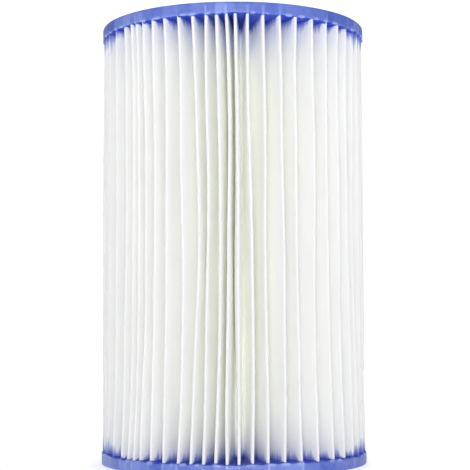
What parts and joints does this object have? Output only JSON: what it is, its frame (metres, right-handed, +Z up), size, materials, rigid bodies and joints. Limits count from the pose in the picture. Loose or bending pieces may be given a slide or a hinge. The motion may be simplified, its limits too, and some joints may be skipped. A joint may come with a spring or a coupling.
{
  "type": "filter cartridge",
  "caption": "Upright cylinder of white pleated filter fabric round a windowed core, with soft blue ring caps cast on both ends; strains pool or spa water drawn from outside to the open bore.",
  "frame": {"origin": "middle of the bottom cap's seat, on the cartridge's axis", "axes": "+Z up along the cartridge's axis; +Y through the fabric's seam, which is at the back"},
  "size_m": [0.146, 0.146, 0.24],
  "materials": {
    "cap": "soft translucent blue vinyl, cast, satin to glossy",
    "media": "white spun-bonded polyester, matt, slightly translucent",
    "adhesive": "clear to amber hot-melt",
    "core": "white moulded plastic"
  },
  "bodies": {
    "root": {"bottom_end_cap": "cap", "top_end_cap": "cap", "pleated_media": "media", "seam_adhesive": "adhesive", "core_bottom_section": "core", "core_middle_section": "core", "core_top_section": "core"}
  },
  "joints": []
}
